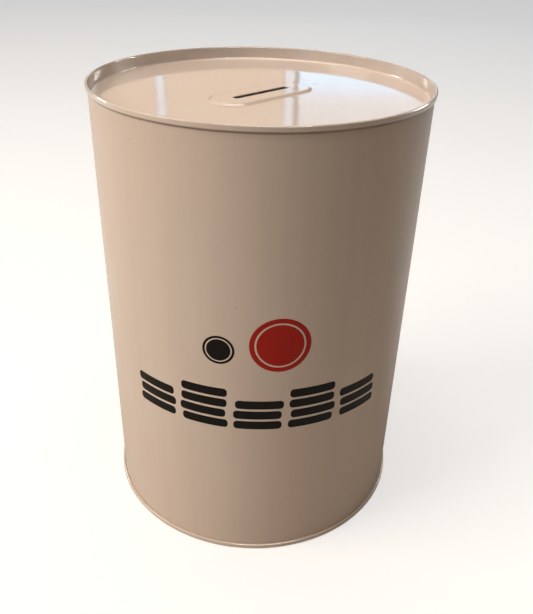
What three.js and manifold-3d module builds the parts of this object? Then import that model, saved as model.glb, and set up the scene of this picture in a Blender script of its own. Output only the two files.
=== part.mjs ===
// Tin money box: a can-making line's three-piece tin with a coin slot in its top end.
// Millimetres, +Z up, origin on the floor at the tin's axis; the printed front faces -Y.
import * as THREE from "three";
import { ConvexGeometry } from "three/addons/geometries/ConvexGeometry.js";
import { mergeVertices } from "three/addons/utils/BufferGeometryUtils.js";
import Module from "manifold-3d";

const wasm = await Module();
wasm.setup();

// Tin
const tinHeight = 219.4;
const bodyRadius = 77.5; // outside of the plain wall
const plate = 0.24; // tinplate thickness
const roundSteps = 60; // facets round the tin

// Double seams: five layers of plate rolled together, end outside, body inside
const seamHeight = 2.6;
const topSeamGap = 0.05; // between layers
const baseSeamGap = 0.21; // the base is rolled less tightly
const seamCorner = 0.45; // radius over the crown of the seam
const rollCorner = 0.3; // radius under the seam
const innerCorner = 0.18; // bends inside the seam
const compoundSpace = 0.36; // between the end's crown and the body's flange
const compoundGap = 0.05;
const hookClearance = 0.15;
const bodyHookClearance = 0.3;

// Ends
const topRecess = 6.0; // seam crown to panel
const baseRecess = 5.0;
const footInset = 0.58; // the recess wall leans in by this much
const footFillet = 0.9;

// Coin slot in its pressed panel
const slotLength = 34;
const slotWidth = 3.3;
const pressLength = 57;
const pressWidth = 23;
const pressSlope = 2; // width of the sloping side
const pressHeight = 0.9;
const slotOffset = -5.5; // from the axis, toward the front
const slotTurn = THREE.MathUtils.degToRad(44.6);
const endSteps = 10; // facets round each end of a slot outline

// Welded side seam at the back
const weldWidth = 1.2;
const weldProud = 0.1;
const weldDepth = 0.12;
const weldStop = 0.6; // from each double seam

// Stopper in the base
const holeRadius = 22;
const stopperSteps = 36;
const flangeRadius = 26;
const flangeThickness = 1.2;
const flangeSeat = 0.06; // under the base panel
const sleeveRadius = 21.6;
const sleeveHeight = 6.4; // above the flange
const beadRadius = 21.9;
const beadHeight = 1.1;
const beadRise = 0.4; // from the panel to the bead
const stopperWall = 1.3;
const gripThickness = 3;
const gripRise = 0.3; // the grip stays this much inside the flange face

// ---- geometry to solid and back ----

function toSolid(geometry) {
  const bare = geometry.clone();
  bare.deleteAttribute("normal");
  bare.deleteAttribute("uv");
  const merged = mergeVertices(bare, 1e-3);
  const corners = merged.index.array;
  const kept = [];
  for (let i = 0; i < corners.length; i += 3) {
    const [a, b, c] = corners.slice(i, i + 3);
    if (a !== b && b !== c && c !== a) kept.push(a, b, c);
  }
  const vertProperties = merged.attributes.position.array;
  const triVerts = new Uint32Array(kept);
  return new wasm.Manifold(new wasm.Mesh({ numProp: 3, vertProperties, triVerts }));
}

function toGeometry(solid) {
  const { vertProperties, triVerts } = solid.getMesh();
  const geometry = new THREE.BufferGeometry();
  geometry.setAttribute("position", new THREE.BufferAttribute(vertProperties, 3));
  geometry.setIndex(new THREE.BufferAttribute(triVerts, 1));
  const flat = geometry.toNonIndexed();
  flat.computeVertexNormals();
  return flat;
}

// A profile of [radius, z] points, turned about the Z axis.
function turned(points, steps) {
  const profile = points.map(([radius, z]) => new THREE.Vector2(radius, z));
  return toSolid(new THREE.LatheGeometry(profile, steps).rotateX(Math.PI / 2));
}

// Points of a quarter-round corner from one direction of travel to the next.
function corner(from, pivot, to, steps) {
  const points = [];
  for (let i = 0; i <= steps; i++) {
    const share = i / steps;
    const near = (1 - share) * (1 - share);
    const middle = 2 * share * (1 - share);
    const far = share * share;
    points.push([
      near * from[0] + middle * pivot[0] + far * to[0],
      near * from[1] + middle * pivot[1] + far * to[1],
    ]);
  }
  return points;
}

// ---- double seam layers, from the middle of the tin outward ----

function seamLayers(gap) {
  const bodyIn = bodyRadius - plate;
  const chuckOut = bodyIn - gap;
  const coverIn = bodyRadius + gap;
  const coverOut = coverIn + plate;
  const hookIn = coverOut + gap;
  const hookOut = hookIn + plate;
  const skirtIn = hookOut + gap;
  return {
    bodyIn,
    chuckOut,
    chuckIn: chuckOut - plate,
    coverIn,
    coverOut,
    hookIn,
    hookOut,
    skirtIn,
    skirtOut: skirtIn + plate,
  };
}

// Depths below the crown of a seam
const flangeTop = plate + compoundSpace;
const flangeUnder = flangeTop + plate;
const coverHookTop = flangeUnder + hookClearance;
const rollTop = seamHeight - plate;
const bodyHookEnd = rollTop - bodyHookClearance;

// An end's profile as [radius, depth below the crown], from the panel's middle and back under it.
function endProfile(gap, recess, middleRadius) {
  const layer = seamLayers(gap);
  const foot = layer.chuckIn - footInset;
  return [
    [middleRadius, recess],
    ...corner([foot - footFillet, recess], [foot, recess], [foot, recess - footFillet], 3),
    ...corner([layer.chuckIn, seamCorner], [layer.chuckIn, 0], [layer.chuckIn + seamCorner, 0], 2),
    ...corner([layer.skirtOut - seamCorner, 0], [layer.skirtOut, 0], [layer.skirtOut, seamCorner], 2),
    [layer.skirtOut, seamHeight - rollCorner],
    [layer.skirtOut - rollCorner, seamHeight],
    [layer.coverIn + innerCorner, seamHeight],
    [layer.coverIn, seamHeight - innerCorner],
    [layer.coverIn, coverHookTop],
    [layer.coverOut, coverHookTop],
    [layer.coverOut, rollTop],
    [layer.skirtIn - innerCorner, rollTop],
    [layer.skirtIn, rollTop - innerCorner],
    [layer.skirtIn, plate + innerCorner],
    [layer.skirtIn - innerCorner, plate],
    [layer.chuckOut + innerCorner, plate],
    [layer.chuckOut, plate + innerCorner],
    ...corner(
      [foot + plate, recess - footFillet],
      [foot + plate, recess + plate],
      [foot - footFillet, recess + plate],
      3,
    ),
    [middleRadius, recess + plate],
  ];
}

// One rolled flange of the body as [radius, depth], from the inside of the wall to its outside.
function flangeProfile(gap) {
  const layer = seamLayers(gap);
  return [
    [layer.bodyIn, flangeTop + innerCorner],
    [layer.bodyIn + innerCorner, flangeTop],
    [layer.hookOut - innerCorner, flangeTop],
    [layer.hookOut, flangeTop + innerCorner],
    [layer.hookOut, bodyHookEnd],
    [layer.hookIn, bodyHookEnd],
    [layer.hookIn, flangeUnder],
    [bodyRadius, flangeUnder],
  ];
}

// The sealing compound's ring inside a seam as [radius, depth].
function compoundProfile(gap) {
  const layer = seamLayers(gap);
  const inside = layer.bodyIn + innerCorner;
  const outside = layer.skirtIn - innerCorner;
  const upper = plate + compoundGap;
  const lower = flangeTop - compoundGap;
  return [
    [inside, lower],
    [inside, upper],
    [outside, upper],
    [outside, lower],
  ];
}

// A profile's depths as heights at the top of the tin, in the order that keeps its solid on the left.
// At the base a depth is already a height, and the order is right as it stands.
const atTop = (points) => points.map(([radius, depth]) => [radius, tinHeight - depth]).reverse();

// A profile that ends where it began.
const closed = (points) => [...points, points[0]];

// ---- coin slot outlines ----

// A straight-sided outline with full-round ends, lying along X at height z.
function slotOutline(length, width, z) {
  const radius = width / 2;
  const reach = length / 2 - radius;
  const points = [];
  for (const side of [1, -1]) {
    for (let i = 0; i <= endSteps; i++) {
      const angle = side * (Math.PI / 2) - (Math.PI * i) / endSteps;
      const x = side * reach + radius * Math.cos(angle);
      points.push(new THREE.Vector3(x, radius * Math.sin(angle), z));
    }
  }
  return points;
}

function placedOnLid(points) {
  const place = new THREE.Matrix4()
    .makeRotationZ(slotTurn)
    .setPosition(0, slotOffset, 0);
  return toSolid(new ConvexGeometry(points.map((point) => point.applyMatrix4(place))));
}

// ---- pieces ----

function makeBodyShell() {
  const walls = [...atTop(flangeProfile(topSeamGap)), ...flangeProfile(baseSeamGap)];
  const tube = turned(closed(walls), roundSteps);
  const weldLength = tinHeight - 2 * (seamHeight + weldStop);
  const weld = new THREE.BoxGeometry(weldWidth, weldProud + weldDepth, weldLength);
  weld.translate(0, bodyRadius + (weldProud - weldDepth) / 2, tinHeight / 2);
  return tube.add(toSolid(weld));
}

function makeTopEnd() {
  const panel = tinHeight - topRecess;
  const flat = turned(atTop(endProfile(topSeamGap, topRecess, 0)), roundSteps);
  const plateau = [pressLength - 2 * pressSlope, pressWidth - 2 * pressSlope];
  const outside = placedOnLid([
    ...slotOutline(pressLength, pressWidth, panel - plate / 2),
    ...slotOutline(pressLength, pressWidth, panel),
    ...slotOutline(...plateau, panel + pressHeight),
  ]);
  const underside = placedOnLid([
    ...slotOutline(pressLength, pressWidth, panel - 2 * plate),
    ...slotOutline(pressLength, pressWidth, panel - plate),
    ...slotOutline(...plateau, panel - plate + pressHeight),
  ]);
  const slot = placedOnLid([
    ...slotOutline(slotLength, slotWidth, panel - 1),
    ...slotOutline(slotLength, slotWidth, panel + pressHeight + 1),
  ]);
  return flat.add(outside).subtract(underside).subtract(slot);
}

function makeBaseEnd() {
  return turned(closed(endProfile(baseSeamGap, baseRecess, holeRadius)), roundSteps);
}

function makeStopper() {
  const flangeFace = baseRecess - flangeSeat - flangeThickness;
  const flangeBack = baseRecess - flangeSeat;
  const crown = flangeBack + sleeveHeight;
  const beadFoot = baseRecess + plate + beadRise;
  const cupRadius = sleeveRadius - stopperWall;
  const cup = turned(
    [
      [0, crown - stopperWall],
      [cupRadius, crown - stopperWall],
      [cupRadius, flangeFace],
      [flangeRadius - rollCorner, flangeFace],
      [flangeRadius, flangeFace + rollCorner],
      [flangeRadius, flangeBack],
      [sleeveRadius, flangeBack],
      [sleeveRadius, beadFoot],
      [beadRadius, beadFoot + beadHeight / 2],
      [sleeveRadius, beadFoot + beadHeight],
      [sleeveRadius - 2 * innerCorner, crown],
      [0, crown],
    ],
    stopperSteps,
  );
  const gripFoot = flangeFace + gripRise;
  const gripHeight = crown - stopperWall / 2 - gripFoot;
  const grip = new THREE.BoxGeometry(2 * cupRadius + stopperWall, gripThickness, gripHeight);
  grip.translate(0, 0, gripFoot + gripHeight / 2);
  return cup.add(toSolid(grip));
}

// ---- assembly ----

const enamel = { color: 0xe7d3c4, roughness: 0.25, metalness: 0 };
const compound = { color: 0x8b8e8c, roughness: 0.8, metalness: 0 };
const softPlastic = { color: 0xece9e2, roughness: 0.5, metalness: 0 };

const moneyBox = new THREE.Group();

function addPiece(parent, name, solid, look) {
  const mesh = new THREE.Mesh(toGeometry(solid), new THREE.MeshStandardMaterial(look));
  mesh.name = name;
  parent.add(mesh);
}

const tin = new THREE.Group();
const topCompound = turned(closed(atTop(compoundProfile(topSeamGap))), roundSteps);
const baseCompound = turned(closed(compoundProfile(baseSeamGap)), roundSteps);
addPiece(tin, "body_shell", makeBodyShell(), enamel);
addPiece(tin, "top_end", makeTopEnd(), enamel);
addPiece(tin, "base_end", makeBaseEnd(), enamel);
addPiece(tin, "top_seam_compound", topCompound, compound);
addPiece(tin, "base_seam_compound", baseCompound, compound);
moneyBox.add(tin);

const stopper = new THREE.Group();
addPiece(stopper, "base_stopper", makeStopper(), softPlastic);
moneyBox.add(stopper);

export default moneyBox;
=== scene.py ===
"""Tin money box: a double-seamed can with a coin slot, printed body and a stopper in its base."""

import math

import bmesh
import bpy
from mathutils import Matrix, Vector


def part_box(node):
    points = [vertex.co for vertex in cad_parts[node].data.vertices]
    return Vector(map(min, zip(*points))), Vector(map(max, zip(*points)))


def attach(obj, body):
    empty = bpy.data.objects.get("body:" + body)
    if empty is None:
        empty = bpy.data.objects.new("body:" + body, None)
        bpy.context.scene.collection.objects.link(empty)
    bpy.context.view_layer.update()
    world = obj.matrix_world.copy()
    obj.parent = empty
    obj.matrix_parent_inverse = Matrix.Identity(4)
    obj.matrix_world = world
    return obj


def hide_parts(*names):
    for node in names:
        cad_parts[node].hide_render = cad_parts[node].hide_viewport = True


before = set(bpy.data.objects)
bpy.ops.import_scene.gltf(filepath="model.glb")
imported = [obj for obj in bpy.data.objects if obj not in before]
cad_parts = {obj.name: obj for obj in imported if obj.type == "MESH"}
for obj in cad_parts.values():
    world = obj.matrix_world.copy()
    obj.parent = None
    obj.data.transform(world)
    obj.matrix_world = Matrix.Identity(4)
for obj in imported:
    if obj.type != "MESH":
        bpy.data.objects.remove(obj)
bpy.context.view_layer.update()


# ---- Camera ----
# A phone held close above the tin: near enough that the wall tapers strongly to the foot.
camera_data = bpy.data.cameras.new("camera")
camera_data.sensor_width = 36
camera_data.lens = 39.94
camera_data.clip_start = 0.01
camera = bpy.data.objects.new("camera", camera_data)
bpy.context.scene.collection.objects.link(camera)
look_down = 0.533
look_aside = 0.016
tilt = 0.030
camera.matrix_world = (
    Matrix.Translation((0, -0.3186, 0.2868))
    @ Matrix.Rotation(-look_aside, 4, "Z")
    @ Matrix.Rotation(math.pi / 2 - look_down, 4, "X")
    @ Matrix.Rotation(tilt, 4, "Z")
)
bpy.context.scene.camera = camera


# ---- Floor and studio light ----
# A plain pale floor, one soft key at the left and a fill above. Two metres behind stands a warm
# wall with a window and a net curtain, for the lid to mirror.
FLOOR_SPAN = 14
FLOOR_COLOUR = (0.61, 0.56, 0.51, 1)
FLOOR_LIFT = 0.58
GLOSS_LIFT = 0.42
GLOSS_LIFT_FROM = -0.02
GLOSS_LIFT_FULL = 0.16


class Recipe:
    """Adds shader nodes one after another and joins each input to a number or to another node."""

    def __init__(self, name):
        self.material = bpy.data.materials.new(name)
        self.material.use_nodes = True
        self.tree = self.material.node_tree
        self.shader = self.tree.nodes["Principled BSDF"]

    def add(self, kind, settings=None, **inputs):
        node = self.tree.nodes.new(kind)
        for key, value in (settings or {}).items():
            setattr(node, key, value)
        for key, value in inputs.items():
            self.join(node, key.replace("_", " "), value)
        return node

    def join(self, node, key, value):
        numbered = key.startswith("in") and key[2:].isdigit()
        socket = node.inputs[int(key[2:]) if numbered else key]
        if isinstance(value, bpy.types.NodeSocket):
            self.tree.links.new(value, socket)
        else:
            socket.default_value = value

    def math(self, operation, *values, clamp=False):
        node = self.add("ShaderNodeMath", {"operation": operation, "use_clamp": clamp})
        for place, value in enumerate(values):
            self.join(node, f"in{place}", value)
        return node.outputs[0]

    def edge(self, value, start, end):
        """0 before start and 1 after end, with a smooth step between."""
        node = self.add("ShaderNodeMapRange", {"interpolation_type": "SMOOTHSTEP"}, Value=value)
        node.inputs["From Min"].default_value = start
        node.inputs["From Max"].default_value = end
        return node.outputs["Result"]

    def mix(self, factor, first, second):
        node = self.add("ShaderNodeMix", {"data_type": "RGBA"})
        for key, value in ((0, factor), (6, first), (7, second)):
            self.join(node, f"in{key}", value)
        return node.outputs[2]

    def noise(self, scale, detail, stretch=(1, 1, 1)):
        """Cloudy noise in the object's own metres, stretched along an axis by a small number."""
        place = self.add("ShaderNodeTexCoord").outputs["Object"]
        turned = self.add("ShaderNodeMapping", Vector=place, Scale=stretch).outputs["Vector"]
        cloud = self.add("ShaderNodeTexNoise", Vector=turned, Scale=scale, Detail=detail)
        return cloud.outputs["Fac"]

    def bump(self, height, distance, strength, below=None):
        node = self.add("ShaderNodeBump", Height=height, Distance=distance, Strength=strength)
        if below is not None:
            self.join(node, "Normal", below)
        return node.outputs["Normal"]

    def position(self):
        place = self.add("ShaderNodeTexCoord").outputs["Object"]
        split = self.add("ShaderNodeSeparateXYZ", Vector=place)
        return split.outputs["X"], split.outputs["Y"], split.outputs["Z"]


def floor_paint():
    """Matt pale paint that looks paler than the light it gives back: all of it to the camera, and
    behind the tin to the tin's gloss too. From below it isn't there."""
    recipe = Recipe("floor_paint")
    recipe.shader.inputs["Base Color"].default_value = FLOOR_COLOUR
    recipe.shader.inputs["Roughness"].default_value = 0.9
    recipe.shader.inputs["Emission Color"].default_value = (0.96, 0.98, 1.0, 1)
    ray = recipe.add("ShaderNodeLightPath")
    behind_tin = recipe.edge(recipe.position()[1], GLOSS_LIFT_FROM, GLOSS_LIFT_FULL)
    to_gloss = recipe.math("MULTIPLY", ray.outputs["Is Glossy Ray"], behind_tin)
    to_gloss = recipe.math("MULTIPLY", to_gloss, GLOSS_LIFT)
    lift = recipe.math("MULTIPLY_ADD", ray.outputs["Is Camera Ray"], FLOOR_LIFT, to_gloss)
    recipe.join(recipe.shader, "Emission Strength", lift)
    underneath = recipe.add("ShaderNodeNewGeometry").outputs["Backfacing"]
    see_through = recipe.add("ShaderNodeBsdfTransparent").outputs[0]
    either = recipe.add("ShaderNodeMixShader")
    for place, source in enumerate((underneath, recipe.shader.outputs[0], see_through)):
        recipe.join(either, f"in{place}", source)
    recipe.join(recipe.tree.nodes["Material Output"], "Surface", either.outputs[0])
    return recipe.material


bpy.ops.object.select_all(action="DESELECT")
bpy.ops.mesh.primitive_plane_add(size=FLOOR_SPAN, location=(0, 0, 0))
floor = bpy.context.object
floor.name = "floor"
floor.data.materials.append(floor_paint())
floor.visible_shadow = False

# The room is dim and warm to the tin, and plain pale grey to the camera.
studio = bpy.data.worlds.new("studio")
studio.use_nodes = True
room = studio.node_tree.nodes["Background"]
room.inputs["Color"].default_value = (1.0, 0.80, 0.62, 1)
room.inputs["Strength"].default_value = 0.04
pale = studio.node_tree.nodes.new("ShaderNodeBackground")
pale.inputs["Color"].default_value = (0.66, 0.66, 0.66, 1)
world_ray = studio.node_tree.nodes.new("ShaderNodeLightPath")
backdrop_mix = studio.node_tree.nodes.new("ShaderNodeMixShader")
studio.node_tree.links.new(world_ray.outputs["Is Camera Ray"], backdrop_mix.inputs[0])
studio.node_tree.links.new(room.outputs[0], backdrop_mix.inputs[1])
studio.node_tree.links.new(pale.outputs[0], backdrop_mix.inputs[2])
studio.node_tree.links.new(
    backdrop_mix.outputs[0], studio.node_tree.nodes["World Output"].inputs["Surface"]
)
bpy.context.scene.world = studio
bpy.context.scene.view_settings.view_transform = "Standard"


def add_softbox(name, place, aim, width, height, radiance, colour):
    """A rectangular light at a place, facing a point, as bright as its radiance says."""
    light = bpy.data.lights.new(name, "AREA")
    light.shape = "RECTANGLE"
    light.size = width
    light.size_y = height
    light.energy = radiance * math.pi * width * height
    light.color = colour
    lamp = bpy.data.objects.new(name, light)
    bpy.context.scene.collection.objects.link(lamp)
    lamp.location = place
    direction = Matrix.Translation(aim).translation - lamp.location
    lamp.rotation_euler = direction.to_track_quat("-Z", "Y").to_euler()
    lamp.visible_camera = False
    return lamp


add_softbox("key_left", (-1.25, -0.41, 0.92), (0, 0, 0.05), 0.9, 1.2, 5.15, (1.0, 0.93, 0.84))
add_softbox("top_fill", (0, 0, 1.2), (0, 0, 0.2), 0.7, 0.7, 4.4, (1.0, 0.95, 0.87))
add_softbox("under_fill", (0, 0, -1.3), (0, 0, 0), 0.4, 0.4, 8.0, (1.0, 0.95, 0.90))

# Three strips that only gloss can see: they draw the glints on the rolled seams and recess wall.
for name, place, width, height, radiance in (
    ("strip_right", (1.55, 0.75, 0.62), 0.70, 0.10, 110.0),
    ("strip_left", (-1.55, 0.75, 0.62), 0.40, 0.10, 110.0),
    ("strip_front", (0.30, -1.30, 1.10), 1.40, 0.20, 42.0),
):
    strip = add_softbox(name, place, (0, 0, 0.15), width, height, radiance, (1.0, 0.97, 0.93))
    strip.visible_diffuse = False

# What the lid mirrors, all on one wall two metres behind it: a warm backdrop, a bright window
# over a net curtain, and two narrow gaps of daylight.
WALL_BACK = 2.0


def add_wall_light(name, left, right, bottom, top, colour):
    """A softbox flat on the wall behind, facing the tin."""
    middle_x, middle_z = (left + right) / 2, (bottom + top) / 2
    return add_softbox(
        name,
        (middle_x, WALL_BACK, middle_z),
        (middle_x, 0, middle_z),
        right - left,
        top - bottom,
        1.0,
        colour,
    )


WALL_FOOT = 0.50
WALL_HEAD = 0.95
WARM_WALL = (0.78, 0.58, 0.44)
DAYLIGHT = (0.9, 1.08, 1.3)
WINDOW_LIGHT = (1.0, 1.55, 2.1)
for name, left, right, top, colour in (
    ("backdrop_left", -0.70, -0.355, WALL_HEAD, WARM_WALL),
    ("gap_left", -0.352, -0.324, WALL_HEAD, DAYLIGHT),
    ("backdrop_middle", -0.321, 0.072, WALL_HEAD, WARM_WALL),
    ("gap_right", 0.076, 0.108, WALL_HEAD, DAYLIGHT),
    ("window", 0.123, 0.56, 0.668, WINDOW_LIGHT),
):
    add_wall_light(name, left, right, WALL_FOOT, top, colour)

# The net curtain: a glowing sheet that only gloss can see.
CURTAIN_PLACE = (0.35, WALL_BACK, 0.787)
CURTAIN_SIZE = (0.448, 0.234, 1)
NET_SHADE = (0.46, 0.40, 0.35, 1)
NET_LIGHT = (1.0, 1.12, 1.28, 1)


def net_curtain():
    """Mottled all over, and brighter at its foot, next to the window."""
    recipe = Recipe("net_curtain")
    recipe.tree.nodes.remove(recipe.shader)
    weave = recipe.add("ShaderNodeValToRGB", Fac=recipe.noise(85, 2))
    shade, light = weave.color_ramp.elements
    shade.position, shade.color = 0.40, NET_SHADE
    light.position, light.color = 0.52, NET_LIGHT
    fade = recipe.add(
        "ShaderNodeMapRange",
        Value=recipe.position()[2],
        From_Min=0.68,
        From_Max=0.90,
        To_Min=1.35,
        To_Max=0.95,
    )
    glow = recipe.add(
        "ShaderNodeEmission", Color=weave.outputs["Color"], Strength=fade.outputs["Result"]
    )
    recipe.join(recipe.tree.nodes["Material Output"], "Surface", glow.outputs[0])
    return recipe.material


bpy.ops.object.select_all(action="DESELECT")
bpy.ops.mesh.primitive_plane_add(size=1, location=CURTAIN_PLACE, rotation=(math.pi / 2, 0, 0))
curtain = bpy.context.object
curtain.name = "curtain"
curtain.scale = CURTAIN_SIZE
bpy.ops.object.transform_apply(location=True, rotation=True, scale=True)
curtain.data.materials.append(net_curtain())
curtain.visible_camera = False
curtain.visible_diffuse = False
curtain.visible_shadow = False


# ---- Body shell ----
# The wall: one printed sheet of tinplate rolled to a tube, its edges lap-welded at the back, both
# rims flanged outward and turned down as hooks that the two ends are rolled round.
PLATE = 0.00024
TOP_GAP = 0.00005
BASE_GAP = 0.00021
SEAM_HEIGHT = 0.0026
FLANGE_SPACE = 0.00036
HOOK_CLEARANCE = 0.0003
HOOK_ROUND = 0.00012
WELD_CLEARANCE = 0.0006
WELD_REACH = 0.0004
WELD_STEP = 0.0003
WELD_RISE = 0.0001
ROUND = 256
tin_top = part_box("top_end")[1].z
top_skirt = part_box("top_end")[1].x
wall_radius = top_skirt - 3 * (PLATE + TOP_GAP)
flange_depth = PLATE + FLANGE_SPACE + PLATE / 2
hook_depth = SEAM_HEIGHT - PLATE - HOOK_CLEARANCE


def start_edit(piece):
    """Opens a piece in edit mode with nothing selected."""
    bpy.context.view_layer.objects.active = piece
    bpy.ops.object.mode_set(mode="EDIT")
    bpy.ops.mesh.select_all(action="DESELECT")


def pick(piece, element, wanted):
    """Selects only the vertices, edges or faces of a piece that pass a test."""
    bpy.ops.mesh.select_mode(type={"verts": "VERT", "edges": "EDGE", "faces": "FACE"}[element])
    bpy.ops.mesh.select_all(action="DESELECT")
    mesh = bmesh.from_edit_mesh(piece.data)
    for item in getattr(mesh, element):
        if wanted(item):
            item.select_set(True)
    mesh.select_flush_mode()
    bmesh.update_edit_mesh(piece.data)


def middle(edge):
    """An edge's midpoint."""
    return (edge.verts[0].co + edge.verts[1].co) / 2


def is_rim(edge, height):
    """True for an open edge at a height."""
    return edge.is_boundary and abs(middle(edge).z - height) < 1e-6


def roll_rim(stations):
    """Extrudes the selected rim, a circle about the tin's axis, from each station to the next."""
    for (old_radius, old_height), (radius, height) in zip(stations, stations[1:]):
        bpy.ops.mesh.extrude_region()
        share = radius / old_radius
        bpy.ops.transform.resize(value=(share, share, 1), center_override=(0, 0, 0))
        bpy.ops.transform.translate(value=(0, 0, height - old_height))


def pick_circles(piece, stations):
    """Selects whole circles about the axis, each given by its radius and height."""
    def on_circle(edge):
        ends = [(vert.co.xy.length, vert.co.z) for vert in edge.verts]
        return any(
            all(abs(r - radius) < 2e-6 and abs(z - height) < 2e-6 for r, z in ends)
            for radius, height in stations
        )
    pick(piece, "edges", on_circle)


def give_thickness(piece, back=0, cut=0):
    """Turns a surface into plate, half its thickness to each side, with a back and a cut edge."""
    solid = piece.modifiers.new("plate", "SOLIDIFY")
    solid.thickness = PLATE
    solid.offset = 0
    solid.use_even_offset = True
    solid.material_offset = back
    solid.material_offset_rim = cut
    bpy.ops.object.modifier_apply(modifier=solid.name)


def settle(piece, angle):
    """Puts a piece's place into its mesh and shades its rounds smooth."""
    bpy.ops.object.select_all(action="DESELECT")
    piece.select_set(True)
    bpy.context.view_layer.objects.active = piece
    bpy.ops.object.transform_apply(location=True, rotation=True, scale=True)
    bpy.ops.object.shade_smooth_by_angle(angle=math.radians(angle))
    even = piece.modifiers.new("even", "WEIGHTED_NORMAL")
    even.keep_sharp = True
    bpy.ops.object.modifier_apply(modifier=even.name)


wall_middle = wall_radius - PLATE / 2
top_flange = tin_top - flange_depth
bpy.ops.object.select_all(action="DESELECT")
bpy.ops.mesh.primitive_cylinder_add(
    vertices=ROUND,
    radius=wall_middle,
    depth=top_flange - flange_depth,
    end_fill_type="NOTHING",
    location=(0, 0, tin_top / 2),
    rotation=(0, 0, math.pi / ROUND),
)
body = bpy.context.object
body.name = "body"
bpy.ops.object.transform_apply(location=True, rotation=True, scale=True)
start_edit(body)

# The two rims, flanged outward and turned back along the wall.
for gap, rim, toward_middle in ((TOP_GAP, top_flange, -1), (BASE_GAP, flange_depth, 1)):
    hook_radius = wall_radius + 2 * gap + 1.5 * PLATE
    hook_end = rim + toward_middle * (hook_depth - flange_depth)
    pick(body, "edges", lambda edge: is_rim(edge, rim))
    roll_rim([(wall_middle, rim), (hook_radius, rim), (hook_radius, hook_end)])
    pick_circles(body, [(hook_radius, rim)])
    bpy.ops.mesh.bevel(offset=HOOK_ROUND, segments=3, affect="EDGES")

# Rings up the wall, so that the weld's lap has a top and a bottom clear of the seams.
weld_bottom = SEAM_HEIGHT + WELD_CLEARANCE
weld_top = tin_top - weld_bottom
for height in (weld_bottom, weld_top):
    pick(body, "faces", lambda face: True)
    bpy.ops.mesh.bisect(plane_co=(0, 0, height), plane_no=(0, 0, 1))

# The lap of the weld: one column of faces at the back, pressed a tenth of a millimetre proud.
pick(
    body,
    "faces",
    lambda face: abs(face.calc_center_median().x) < WELD_REACH
    and face.calc_center_median().y > 0
    and weld_bottom < face.calc_center_median().z < weld_top,
)
bpy.ops.mesh.inset(thickness=WELD_STEP)
bpy.ops.transform.translate(value=(0, WELD_RISE, 0))
bpy.ops.mesh.select_all(action="SELECT")
bpy.ops.mesh.normals_make_consistent(inside=False)
bpy.ops.object.mode_set(mode="OBJECT")
give_thickness(body, back=1, cut=2)
settle(body, 35)
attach(body, "tin")
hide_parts("body_shell")


ENAMEL = (0.78, 0.645, 0.55, 1)
ENAMEL_WARM = (0.77, 0.62, 0.515, 1)
BLACK_INK = (0.003, 0.002, 0.0015, 1)
RED_INK = (0.47, 0.012, 0.004, 1)
STEEL = (0.55, 0.53, 0.50, 1)
PALE_DOT = (0.86, 0.72, 0.62, 1)
WIPE_MARK = (0.72, 0.60, 0.52, 1)
DUST = (0.16, 0.12, 0.10, 1)
# Painted shadow tone for the band under the top seam.
SEAM_SHADOW_TONE = (0.16, 0.10, 0.07, 1)
SCORCHED = (0.24, 0.22, 0.22, 1)


def lacquer(recipe, roughness, gloss):
    """The clear stoving lacquer over ink and enamel."""
    recipe.shader.inputs["Coat Weight"].default_value = gloss
    recipe.shader.inputs["Coat Roughness"].default_value = roughness
    recipe.shader.inputs["Coat IOR"].default_value = 1.5
    recipe.shader.inputs["IOR"].default_value = 1.45
    recipe.shader.inputs["Specular IOR Level"].default_value = 0.08


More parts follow.
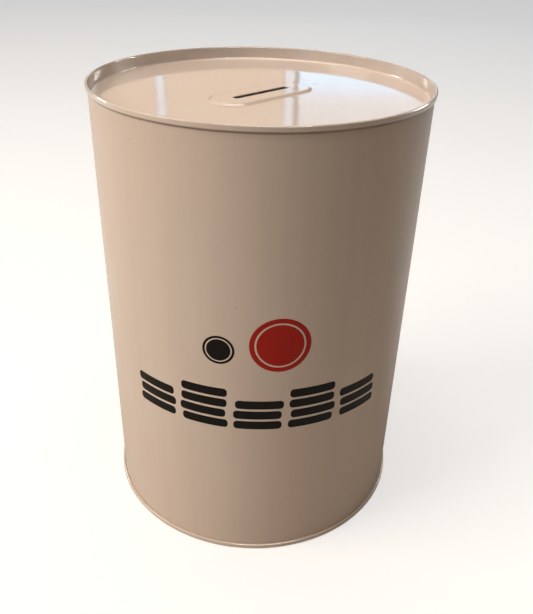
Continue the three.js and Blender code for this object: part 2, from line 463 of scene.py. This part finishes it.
def printed_body():
    """Cream enamel with a pictogram of coins, a bare margin at the weld, a painted shadow line
    under the top seam, and clear lacquer.
    """
    recipe = Recipe("printed_enamel")
    x, y, z = recipe.position()
    angle = recipe.math("ARCTAN2", x, recipe.math("MULTIPLY", y, -1))
    across = recipe.math("MULTIPLY", angle, wall_radius)

    def from_point(centre_across, centre_up):
        side = recipe.math("POWER", recipe.math("SUBTRACT", across, centre_across), 2)
        rise = recipe.math("POWER", recipe.math("SUBTRACT", z, centre_up), 2)
        return recipe.math("SQRT", recipe.math("ADD", side, rise))

    def coin(centre_across, centre_up, radius, line):
        """A disc with a fine ring left open inside its edge."""
        distance = from_point(centre_across, centre_up)
        disc = recipe.edge(distance, radius + soft, radius - soft)
        off_ring = recipe.math("ABSOLUTE", recipe.math("SUBTRACT", distance, radius * 0.8))
        open_ring = recipe.edge(off_ring, line / 2 - soft, line / 2 + soft)
        return recipe.math("MULTIPLY", disc, open_ring)

    soft = 0.00006
    pitch = 0.0058
    thick = 0.0046
    wide = 0.0222
    round_off = 0.0018
    stack_foot = 0.0791
    over_foot = recipe.math("SUBTRACT", z, stack_foot)
    row = recipe.math("FLOOR", recipe.math("DIVIDE", over_foot, pitch))
    row_middle = recipe.math(
        "ADD", recipe.math("MULTIPLY", row, pitch), stack_foot + thick / 2
    )
    up = recipe.math("ABSOLUTE", recipe.math("SUBTRACT", z, row_middle))
    up_out = recipe.math("MAXIMUM", recipe.math("SUBTRACT", up, thick / 2 - round_off), 0)
    up_square = recipe.math("POWER", up_out, 2)
    black = coin(-0.0165, 0.1215, 0.0072, 0.0006)
    for number, rows in enumerate((3, 4, 3, 4, 3)):
        centre = (number - 2) * 0.0256 + 0.0015
        sway = recipe.math("SINE", recipe.math("MULTIPLY_ADD", row, 2.4, number * 1.7))
        sway = recipe.math("MULTIPLY", sway, 0.0006)
        aside = recipe.math("SUBTRACT", recipe.math("SUBTRACT", across, centre), sway)
        aside = recipe.math("SUBTRACT", recipe.math("ABSOLUTE", aside), wide / 2 - round_off)
        aside = recipe.math("MAXIMUM", aside, 0)
        aside_square = recipe.math("POWER", aside, 2)
        distance = recipe.math("SQRT", recipe.math("ADD", aside_square, up_square))
        bar = recipe.edge(distance, round_off + soft, round_off - soft)
        above_foot = recipe.math("GREATER_THAN", row, -0.5)
        under_top = recipe.math("LESS_THAN", row, rows - 0.5)
        bar = recipe.math("MULTIPLY", bar, recipe.math("MULTIPLY", above_foot, under_top))
        black = recipe.math("MAXIMUM", black, bar)
    red = coin(0.0105, 0.1250, 0.0136, 0.0008)

    cloud = recipe.edge(recipe.noise(9, 3), 0.3, 0.7)
    ground = recipe.mix(cloud, ENAMEL, ENAMEL_WARM)
    wipe = recipe.edge(recipe.noise(150, 3, stretch=(1, 1, 0.04)), 0.36, 0.66)
    ground = recipe.mix(recipe.math("MULTIPLY", wipe, 0.30), ground, WIPE_MARK)
    speck = recipe.edge(recipe.noise(620, 1), 0.81, 0.83)
    ground = recipe.mix(recipe.math("MULTIPLY", speck, 0.6), ground, DUST)
    grain = recipe.noise(900, 2)
    dots = recipe.math("MULTIPLY", recipe.edge(grain, 0.60, 0.75), 0.10)
    ground = recipe.mix(dots, ground, PALE_DOT)
    colour = recipe.mix(black, ground, BLACK_INK)
    colour = recipe.mix(red, colour, RED_INK)
    # Painted shadow: a dark brown band on the wall just under the top seam, where the seam's
    # overhang shades it.
    painted_seam_shadow = recipe.edge(z, tin_top - SEAM_HEIGHT - 0.0011, tin_top - SEAM_HEIGHT - 0.0003)
    colour = recipe.mix(recipe.math("MULTIPLY", painted_seam_shadow, 0.65), colour, SEAM_SHADOW_TONE)

    behind = recipe.math("SUBTRACT", recipe.math("ABSOLUTE", angle), math.pi)
    behind = recipe.math("ABSOLUTE", behind)
    behind = recipe.math("MULTIPLY", behind, wall_radius)
    ragged = recipe.math("MULTIPLY_ADD", recipe.noise(300, 2), 0.0003, behind)
    margin = recipe.edge(ragged, 0.0036, 0.0034)
    scorch = recipe.edge(behind, 0.0020, 0.0005)
    bare = recipe.mix(scorch, STEEL, SCORCHED)
    colour = recipe.mix(margin, colour, bare)
    recipe.join(recipe.shader, "Base Color", colour)
    recipe.join(recipe.shader, "Metallic", margin)

    streak = recipe.noise(60, 3, stretch=(1, 1, 0.03))
    sheen = recipe.math("MULTIPLY_ADD", streak, 0.10, 0.30)
    recipe.join(recipe.shader, "Roughness", sheen)
    peel = recipe.bump(recipe.noise(420, 2), 0.00002, 0.35)
    panned = recipe.bump(recipe.noise(14, 1, stretch=(1, 1, 0.25)), 0.0006, 0.25, below=peel)
    recipe.join(recipe.shader, "Normal", panned)
    recipe.join(recipe.shader, "Coat Normal", panned)
    lacquer(recipe, 0.20, 0.22)
    return recipe.material


def lacquered_inside():
    """The tin's inside: bright tinplate under a fine film of gold lacquer, with the grain the mill
    drew into it.
    """
    recipe = Recipe("gold_lacquer_inside")
    grain = recipe.noise(160, 3, stretch=(1, 1, 0.04))
    gold = recipe.mix(grain, (0.60, 0.45, 0.22, 1), (0.46, 0.33, 0.15, 1))
    recipe.join(recipe.shader, "Base Color", gold)
    recipe.join(recipe.shader, "Roughness", recipe.math("MULTIPLY_ADD", grain, 0.15, 0.25))
    recipe.shader.inputs["Metallic"].default_value = 1
    recipe.join(recipe.shader, "Normal", recipe.bump(grain, 0.00001, 0.3))
    return recipe.material


def cut_steel():
    """The sheared edge of the plate: grey steel with the shear's fine burr."""
    recipe = Recipe("cut_steel")
    burr = recipe.noise(2500, 2)
    grey = recipe.mix(burr, (0.42, 0.40, 0.38, 1), (0.20, 0.18, 0.17, 1))
    recipe.join(recipe.shader, "Base Color", grey)
    recipe.join(recipe.shader, "Roughness", recipe.math("MULTIPLY_ADD", burr, 0.2, 0.35))
    recipe.shader.inputs["Metallic"].default_value = 1
    recipe.join(recipe.shader, "Normal", recipe.bump(burr, 0.00003, 0.5))
    return recipe.material


inside = lacquered_inside()
sheared = cut_steel()
for finish in (printed_body(), inside, sheared):
    body.data.materials.append(finish)


# ---- Top end ----
# The lid: a pressed tinplate end, enamelled like the body, sunk below its seam, with a raised
# round-ended panel whose slot has a turned-down lip. It is rolled on and never comes off.
TOP_RECESS = 0.006
FOOT_INSET = 0.00058
FOOT_FILLET = 0.0009
SLOT_LENGTH = 0.034
SLOT_WIDTH = 0.0033
SLOT_TURN = math.radians(44.6)
SLOT_OFFSET = -0.0055
CROWN_ROUND = 0.0005
SKIRT_ROUND = 0.0004
SKIRT_LEAN = 0.0001
SHOULDER_ROUND = 0.00045
HOOK_TOP = 0.00099
FLAT_BAND = 0.0025
ARC_POINTS = 192


def rolled_ring(name, gap, recess, crown, inward):
    """An end's wall and rolled seam, as one sheet from the foot of the recess to the hidden hook.
    crown is the seam's height, and inward is -1 for the top end and 1 for the base end."""
    half = PLATE / 2
    chuck = wall_radius - PLATE - gap - half
    foot = chuck - FOOT_INSET
    skirt = wall_radius + 3 * gap + 2.5 * PLATE
    hook = wall_radius + TOP_GAP + half
    shoulder = min(SHOULDER_ROUND, 0.45 * (skirt - SKIRT_LEAN - hook))

    def at(depth):
        return crown + inward * depth

    panel = at(recess + half)
    corners = [
        (foot, panel),
        (chuck, at(half)),
        (skirt, at(half)),
        (skirt, at(SEAM_HEIGHT * 0.4)),
        (skirt - SKIRT_LEAN, at(SEAM_HEIGHT - half)),
        (hook, at(SEAM_HEIGHT - half)),
        (hook, at(HOOK_TOP)),
    ]
    bpy.ops.object.select_all(action="DESELECT")
    bpy.ops.mesh.primitive_circle_add(
        vertices=ROUND,
        radius=foot - FLAT_BAND,
        location=(0, 0, panel),
        rotation=(0, 0, math.pi / ROUND),
    )
    ring = bpy.context.object
    ring.name = name
    bpy.ops.object.transform_apply(location=True, rotation=True, scale=True)
    start_edit(ring)
    bpy.ops.mesh.select_all(action="SELECT")
    roll_rim([(foot - FLAT_BAND, panel), *corners])
    for station, radius, segments in (
        (corners[0], FOOT_FILLET, 6),
        (corners[1], CROWN_ROUND, 6),
        (corners[2], CROWN_ROUND, 6),
        (corners[3], SKIRT_ROUND, 4),
        (corners[4], shoulder, 6),
        (corners[5], shoulder, 6),
    ):
        pick_circles(ring, [station])
        bpy.ops.mesh.bevel(offset=radius, segments=segments, affect="EDGES")
    bpy.ops.object.mode_set(mode="OBJECT")
    return ring, panel, foot


def outline_reach(length, width):
    """How far the centre of an outline's round end lies from its middle."""
    return (length - width) / 2


def widen(piece, old, new, rise):
    """Extrudes a selected round-ended outline to a new length and width, keeping its ends round."""
    bpy.ops.mesh.extrude_region()
    bpy.ops.transform.translate(value=(0, 0, rise))
    mesh = bmesh.from_edit_mesh(piece.data)
    loop = [vert for vert in mesh.verts if vert.select]
    old_reach = outline_reach(*old)
    reach = outline_reach(*new)
    share = new[1] / old[1]
    ends = {1: [], -1: [], 0: []}
    for vert in loop:
        ends[0 if abs(vert.co.x) < old_reach else math.copysign(1, vert.co.x)].append(vert.index)
    for side, members in ends.items():
        members = set(members)
        pick(piece, "verts", lambda vert: vert.index in members)
        along = share if side else reach / old_reach
        bpy.ops.transform.resize(value=(along, share, 1), center_override=(side * old_reach, 0, 0))
        bpy.ops.transform.translate(value=(side * (reach - old_reach), 0, 0))
    whole = set().union(*ends.values())
    pick(piece, "verts", lambda vert: vert.index in whole)


bpy.ops.object.select_all(action="DESELECT")
bpy.ops.mesh.primitive_circle_add(
    vertices=ARC_POINTS, radius=SLOT_WIDTH / 2, rotation=(0, 0, math.pi / ARC_POINTS)
)
press = bpy.context.object
press.name = "slot_press"
bpy.ops.object.transform_apply(location=True, rotation=True, scale=True)
start_edit(press)
slot_reach = outline_reach(SLOT_LENGTH, SLOT_WIDTH)
for side in (1, -1):
    pick(press, "verts", lambda vert: vert.co.x * side > 0 and abs(vert.co.x) < SLOT_WIDTH)
    bpy.ops.transform.translate(value=(side * slot_reach, 0, 0))
pick(press, "edges", lambda edge: edge.calc_length() > slot_reach)
bpy.ops.mesh.subdivide(number_cuts=(ROUND - ARC_POINTS) // 2)

# The sheet from the lip's hidden edge, over its rolled top, across the plateau and down the slope.
lip_depth = 0.0005
lip_round = 0.0002
press_rise = 0.0009
press_top = (0.053, 0.019)
slope = 0.002
plate_edge = (SLOT_LENGTH + PLATE, SLOT_WIDTH + PLATE)
outlines = [((SLOT_LENGTH, SLOT_WIDTH), 0), (plate_edge, press_rise - lip_depth)]
for step in range(5):
    turn = step / 4 * math.pi / 2
    grow = 2 * lip_round * (1 - math.cos(turn))
    size = (plate_edge[0] + grow, plate_edge[1] + grow)
    outlines.append((size, press_rise - lip_round * (1 - math.sin(turn))))
flat_band = 0.0008
outlines.append(((size[0] + flat_band, size[1] + flat_band), press_rise))
outlines.append(((press_top[0] - flat_band, press_top[1] - flat_band), press_rise))
outlines.append((press_top, press_rise))
for step in range(1, 9):
    share = step / 8
    fall = share * share * (3 - 2 * share)
    size = (press_top[0] + 2 * slope * share, press_top[1] + 2 * slope * share)
    outlines.append((size, press_rise * (1 - fall)))
outlines.append(((size[0] + 2 * flat_band, size[1] + 2 * flat_band), 0))
bpy.ops.mesh.select_all(action="SELECT")
for (old, old_height), (new, height) in zip(outlines, outlines[1:]):
    widen(press, old, new, height - old_height)
slot_start = outline_reach(SLOT_LENGTH, SLOT_WIDTH) + SLOT_WIDTH
pick(
    press,
    "verts",
    lambda vert: abs(vert.co.z) < 1e-6
    and abs(vert.co.y) < SLOT_WIDTH
    and abs(vert.co.x) < slot_start,
)
bpy.ops.mesh.delete(type="VERT")
bpy.ops.object.mode_set(mode="OBJECT")

lid, lid_panel, _ = rolled_ring("top_end_sheet", TOP_GAP, TOP_RECESS, tin_top, -1)
press.rotation_euler.z = SLOT_TURN
press.location = (0, SLOT_OFFSET, lid_panel)
bpy.ops.object.select_all(action="DESELECT")
press.select_set(True)
bpy.context.view_layer.objects.active = press
bpy.ops.object.transform_apply(location=True, rotation=True, scale=True)
lid.select_set(True)
bpy.context.view_layer.objects.active = lid
bpy.ops.object.join()
start_edit(lid)
pick(lid, "edges", lambda edge: is_rim(edge, lid_panel))
bpy.ops.mesh.fill(use_beauty=True)
bpy.ops.mesh.select_all(action="SELECT")
bpy.ops.mesh.remove_doubles(threshold=1e-7)
bpy.ops.mesh.normals_make_consistent(inside=False)
bpy.ops.object.mode_set(mode="OBJECT")


def face_side(piece, height, up):
    """Turns a sheet's faces round if its flat panel at a height doesn't look the wanted way."""
    panel = max(
        (face for face in piece.data.polygons if abs(face.center.z - height) < 1e-5),
        key=lambda face: face.area,
    )
    if panel.normal.z * up < 0:
        piece.data.flip_normals()


face_side(lid, lid_panel, 1)
give_thickness(lid, back=1, cut=2)
settle(lid, 35)
lid.name = "top_end_sheet"
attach(lid, "tin")
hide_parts("top_end")


def end_enamel(name, peel_depth, gloss_roughness):
    """Plain cream enamel under clear lacquer, rubbed through in specks along the seam's crown, with
    painted shade greying the recess wall and darkening the top seam's lower edge.
    """
    recipe = Recipe(name)
    x, y, z = recipe.position()
    cloud = recipe.edge(recipe.noise(14, 3), 0.3, 0.7)
    colour = recipe.mix(cloud, ENAMEL, ENAMEL_WARM)
    square = recipe.math("ADD", recipe.math("POWER", x, 2), recipe.math("POWER", y, 2))
    radius = recipe.math("SQRT", square)
    # Painted shade: the recess wall greyed and darkened, more in some places than others.
    recess_wall_shade = recipe.edge(radius, wall_radius - 0.0014, wall_radius - 0.0009)
    recess_shade_strength = recipe.math("MULTIPLY_ADD", recipe.noise(60, 3), 0.5, 0.45)
    colour = recipe.mix(recipe.math("MULTIPLY", recess_wall_shade, recess_shade_strength), colour, (0.50, 0.43, 0.40, 1))
    outer = recipe.edge(radius, wall_radius - 0.0004, wall_radius + 0.0002)
    colour = recipe.mix(outer, colour, ENAMEL)
    chips = recipe.edge(recipe.noise(700, 4), 0.70, 0.73)
    patch = recipe.edge(recipe.noise(45, 2), 0.52, 0.62)
    worn = recipe.math("MULTIPLY", outer, recipe.math("MULTIPLY", chips, patch))
    colour = recipe.mix(worn, colour, (0.20, 0.17, 0.15, 1))
    # Painted shade: the lower edge of the top seam, which faces down, darkened brown.
    drop = recipe.math("SUBTRACT", tin_top, z)
    under = recipe.edge(drop, SEAM_HEIGHT - 0.0007, SEAM_HEIGHT - 0.0001)
    under = recipe.math("MULTIPLY", outer, under)
    above_base = recipe.math("LESS_THAN", drop, tin_top / 2)
    under = recipe.math("MULTIPLY", recipe.math("MULTIPLY", under, above_base), 0.75)
    colour = recipe.mix(under, colour, (0.22, 0.14, 0.10, 1))
    recipe.join(recipe.shader, "Base Color", colour)
    recipe.join(recipe.shader, "Metallic", recipe.math("MULTIPLY", worn, 0.8))
    smear = recipe.noise(30, 4)
    recipe.join(recipe.shader, "Roughness", recipe.math("MULTIPLY_ADD", smear, 0.12, 0.24))
    panned = recipe.bump(recipe.noise(22, 1), 0.0005, 0.22)
    peel = recipe.bump(recipe.noise(380, 2), peel_depth, 1.0, below=panned)
    recipe.join(recipe.shader, "Normal", peel)
    recipe.join(recipe.shader, "Coat Normal", peel)
    lacquer(recipe, gloss_roughness, 1.0)
    return recipe.material


lid.data.materials.clear()
for finish in (end_enamel("lid_enamel", 0.00004, 0.03), inside, sheared):
    lid.data.materials.append(finish)


# ---- Base end ----
# The base: the same kind of pressed end, rolled on upside down, with a stiffening bead and a plain
# pierced hole for the stopper. It rests on the crown of its seam.
BASE_RECESS = 0.005
HOLE_RADIUS = 0.022
BEAD_OUT = 0.0665
BEAD_IN = 0.0615
BEAD_RISE = 0.0007
base, base_panel, base_foot = rolled_ring("base_end_sheet", BASE_GAP, BASE_RECESS, 0, 1)
start_edit(base)
first = base_foot - FLAT_BAND
pick(base, "edges", lambda edge: is_rim(edge, base_panel) and middle(edge).xy.length < first)
bead = [(first, base_panel)]
for step in range(9):
    share = step / 8
    rise = BEAD_RISE * math.sin(share * math.pi) ** 2
    bead.append((BEAD_OUT + (BEAD_IN - BEAD_OUT) * share, base_panel + rise))
roll_rim([*bead, (0.036, base_panel), (HOLE_RADIUS, base_panel)])
bpy.ops.mesh.select_all(action="SELECT")
bpy.ops.mesh.remove_doubles(threshold=1e-7)
bpy.ops.mesh.normals_make_consistent(inside=False)
bpy.ops.object.mode_set(mode="OBJECT")
face_side(base, base_panel, -1)
give_thickness(base, back=1, cut=2)
settle(base, 35)
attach(base, "tin")
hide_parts("base_end")
for finish in (end_enamel("base_enamel", 0.00001, 0.05), inside, sheared):
    base.data.materials.append(finish)


# ---- Seam compound ----
# Rings of dried rubbery sealant that line each end's curl and are squeezed inside its seam.
def sealant():
    recipe = Recipe("seam_sealant")
    lump = recipe.noise(500, 4)
    grey = recipe.mix(lump, (0.30, 0.31, 0.30, 1), (0.20, 0.21, 0.21, 1))
    recipe.join(recipe.shader, "Base Color", grey)
    recipe.join(recipe.shader, "Roughness", recipe.math("MULTIPLY_ADD", lump, 0.2, 0.65))
    recipe.join(recipe.shader, "Normal", recipe.bump(lump, 0.00005, 0.5))
    return recipe.material


seam_sealant = sealant()
for node in ("top_seam_compound", "base_seam_compound"):
    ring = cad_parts[node]
    ring.data.materials.clear()
    ring.data.materials.append(seam_sealant)


# ---- Stopper ----
# A soft plastic plug moulded in one piece: a flange under the base, a cup with a grip bar for two
# fingers, and a bead that snaps through the hole. It pulls straight down.
stopper_low, stopper_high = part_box("base_stopper")
FLANGE_THICK = 0.0012
SLEEVE_RADIUS = 0.0216
SNAP_RADIUS = 0.0219
STOPPER_WALL = 0.0013
GRIP_THICK = 0.003
PLUG_ROUND = 128
flange_face = stopper_low.z
flange_back = flange_face + FLANGE_THICK
plug_crown = stopper_high.z
flange_radius = stopper_high.x
cup_radius = SLEEVE_RADIUS - STOPPER_WALL
plug_middle = cup_radius - 0.004
snap_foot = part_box("base_end")[0].z + BASE_RECESS + PLATE + 0.0004
bpy.ops.object.select_all(action="DESELECT")
bpy.ops.mesh.primitive_circle_add(
    vertices=PLUG_ROUND,
    radius=plug_middle,
    fill_type="NGON",
    location=(0, 0, plug_crown - STOPPER_WALL),
)
plug = bpy.context.object
plug.name = "stopper_plug"
bpy.ops.object.transform_apply(location=True, rotation=True, scale=True)
start_edit(plug)
pick(plug, "edges", lambda edge: True)
plug_walls = [
    (plug_middle, plug_crown - STOPPER_WALL),
    (cup_radius, plug_crown - STOPPER_WALL),
    (cup_radius, flange_face),
    (flange_radius, flange_face),
    (flange_radius, flange_back),
    (SLEEVE_RADIUS, flange_back),
    (SLEEVE_RADIUS, snap_foot),
    (SNAP_RADIUS, snap_foot + 0.00055),
    (SLEEVE_RADIUS, snap_foot + 0.0011),
    (SLEEVE_RADIUS - 0.0002, plug_crown),
    (plug_middle, plug_crown),
]
roll_rim(plug_walls)
bpy.ops.mesh.edge_face_add()
for station, radius in (
    (plug_walls[1], 0.0008),
    (plug_walls[2], 0.0006),
    (plug_walls[3], 0.0005),
    (plug_walls[4], 0.0004),
    (plug_walls[7], 0.0003),
    (plug_walls[9], 0.0009),
):
    pick_circles(plug, [station])
    bpy.ops.mesh.bevel(offset=radius, segments=4, affect="EDGES")
bpy.ops.mesh.select_all(action="SELECT")
bpy.ops.mesh.normals_make_consistent(inside=False)
bpy.ops.object.mode_set(mode="OBJECT")

grip_foot = flange_face + 0.0003
grip_top = plug_crown - STOPPER_WALL / 2
bpy.ops.object.select_all(action="DESELECT")
bpy.ops.mesh.primitive_cube_add(size=1, location=(0, 0, (grip_foot + grip_top) / 2))
grip = bpy.context.object
grip.name = "stopper_grip"
grip.scale = (2 * cup_radius + STOPPER_WALL, GRIP_THICK, grip_top - grip_foot)
bpy.ops.object.transform_apply(location=True, rotation=True, scale=True)
start_edit(grip)
pick(
    grip,
    "edges",
    lambda edge: all(abs(vert.co.z - grip_foot) < 1e-6 for vert in edge.verts),
)
bpy.ops.mesh.bevel(offset=0.0011, segments=5, affect="EDGES")
bpy.ops.object.mode_set(mode="OBJECT")

# Three ribs on each face of the grip, for the fingertips.
ribs = []
for side in (1, -1):
    for place in (-0.006, 0, 0.006):
        bpy.ops.object.select_all(action="DESELECT")
        bpy.ops.mesh.primitive_cylinder_add(
            vertices=24,
            radius=0.0006,
            depth=0.0038,
            location=(place, side * GRIP_THICK / 2, grip_foot + 0.0033),
        )
        rib = bpy.context.object
        bpy.ops.object.transform_apply(location=True, rotation=True, scale=True)
        start_edit(rib)
        bpy.ops.mesh.select_all(action="SELECT")
        pick(rib, "edges", lambda edge: abs(edge.verts[0].co.z - edge.verts[1].co.z) < 1e-6)
        bpy.ops.mesh.bevel(offset=0.0003, segments=2, affect="EDGES")
        bpy.ops.object.mode_set(mode="OBJECT")
        ribs.append(rib)
for tool in (grip, *ribs):
    weld = plug.modifiers.new("moulded_on", "BOOLEAN")
    weld.operation = "UNION"
    weld.solver = "EXACT"
    weld.object = tool
    bpy.ops.object.select_all(action="DESELECT")
    bpy.context.view_layer.objects.active = plug
    bpy.ops.object.modifier_apply(modifier=weld.name)
    bpy.data.objects.remove(tool)
settle(plug, 35)
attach(plug, "stopper")
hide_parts("base_stopper")


def soft_plastic():
    """Milky soft plastic with the mould's fine spark-eroded skin and a few scuffs."""
    recipe = Recipe("soft_plastic")
    cloud = recipe.noise(40, 3)
    clouded = recipe.edge(cloud, 0.35, 0.65)
    colour = recipe.mix(clouded, (0.80, 0.77, 0.70, 1), (0.73, 0.70, 0.62, 1))
    scuff = recipe.edge(recipe.noise(180, 4, stretch=(1, 0.2, 1)), 0.62, 0.70)
    colour = recipe.mix(recipe.math("MULTIPLY", scuff, 0.3), colour, (0.55, 0.51, 0.45, 1))
    recipe.join(recipe.shader, "Base Color", colour)
    recipe.join(recipe.shader, "Roughness", recipe.math("MULTIPLY_ADD", scuff, 0.2, 0.42))
    recipe.join(recipe.shader, "Normal", recipe.bump(recipe.noise(2200, 2), 0.00003, 0.4))
    recipe.shader.inputs["Subsurface Weight"].default_value = 0.25
    recipe.shader.inputs["Subsurface Radius"].default_value = (0.004, 0.0035, 0.003)
    recipe.shader.inputs["Subsurface Scale"].default_value = 0.5
    return recipe.material


plug.data.materials.clear()
plug.data.materials.append(soft_plastic())
